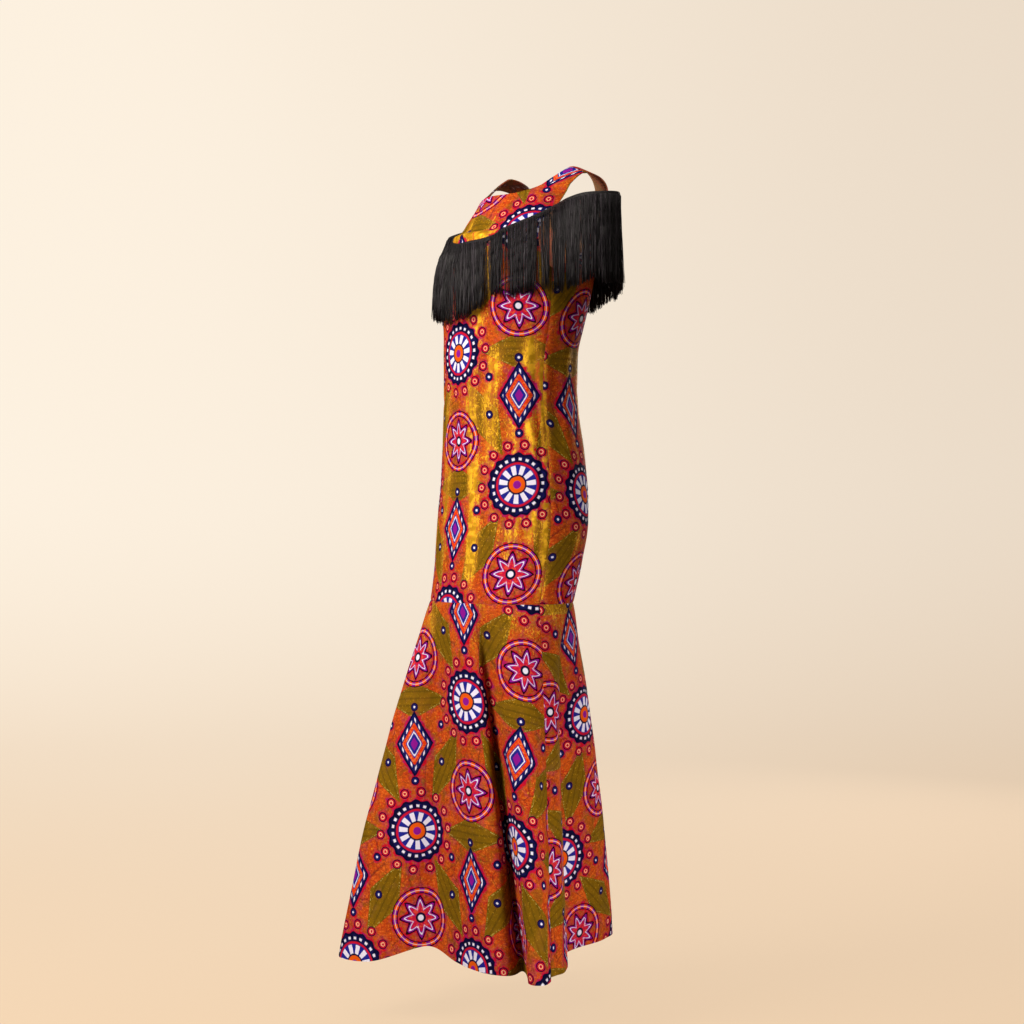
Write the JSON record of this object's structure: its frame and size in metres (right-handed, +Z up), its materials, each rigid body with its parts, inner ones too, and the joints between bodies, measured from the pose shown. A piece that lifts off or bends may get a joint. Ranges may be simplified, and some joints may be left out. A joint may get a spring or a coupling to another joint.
{
  "type": "off-shoulder maxi dress",
  "caption": "Fitted sheath dress with shoulder straps, a flared flounce from mid-thigh to the floor, and a deep fringe hung across the chest, upper arms and back.",
  "frame": {"origin": "on the shoulder line, midway between the two straps, where the wearer's shoulders hold the dress", "axes": "+Z up, -Y the way the wearer faces, +X the wearer's left"},
  "size_m": [0.4965, 0.4928, 1.4281],
  "materials": {
    "printed_cotton": "wax-printed cotton with gold foil highlights, satin",
    "black_tape": "woven braid tape, matt",
    "black_fringe": "twisted strands, soft sheen"
  },
  "bodies": {
    "root": {"front_body": "printed_cotton", "back_body": "printed_cotton", "flounce_front": "printed_cotton", "flounce_back": "printed_cotton", "fringe_header": "black_tape", "fringe": "black_fringe"}
  },
  "joints": []
}
